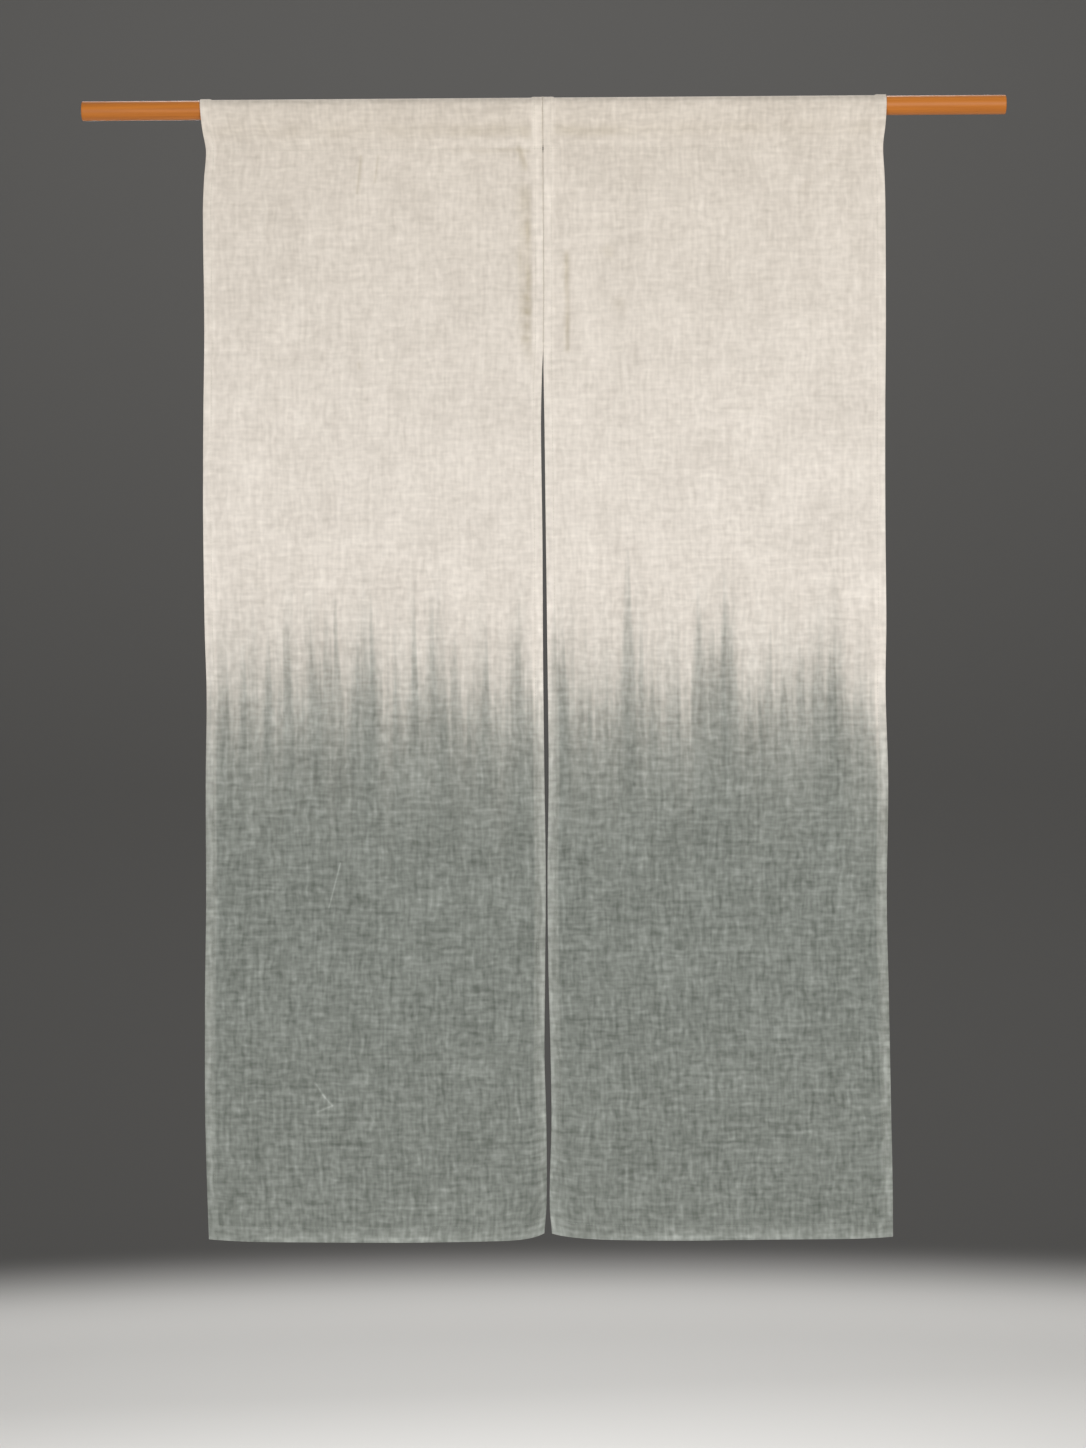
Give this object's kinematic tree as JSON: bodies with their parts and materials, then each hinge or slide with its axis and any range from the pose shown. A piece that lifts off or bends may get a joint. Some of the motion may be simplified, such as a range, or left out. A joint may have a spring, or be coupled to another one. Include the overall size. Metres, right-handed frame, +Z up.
{
  "type": "noren curtain on a rod",
  "caption": "Noren doorway curtain of dip-dyed linen panels, joined above and split below, hanging by a sewn pocket from a round wooden rod.",
  "frame": {"origin": "centre of the rod's left end face, seen from the front", "axes": "+X along the rod to its right end, +Y away from the viewer, through the cloth to its back, +Z up"},
  "size_m": [1.21, 0.03, 1.5009],
  "materials": {
    "linen": "matte slubbed linen weave, cream above, dip-dyed grey-green below",
    "rod_wood": "warm satin varnish"
  },
  "bodies": {
    "root": {"rod": "rod_wood", "panel_left": "linen", "panel_right": "linen"}
  },
  "joints": []
}
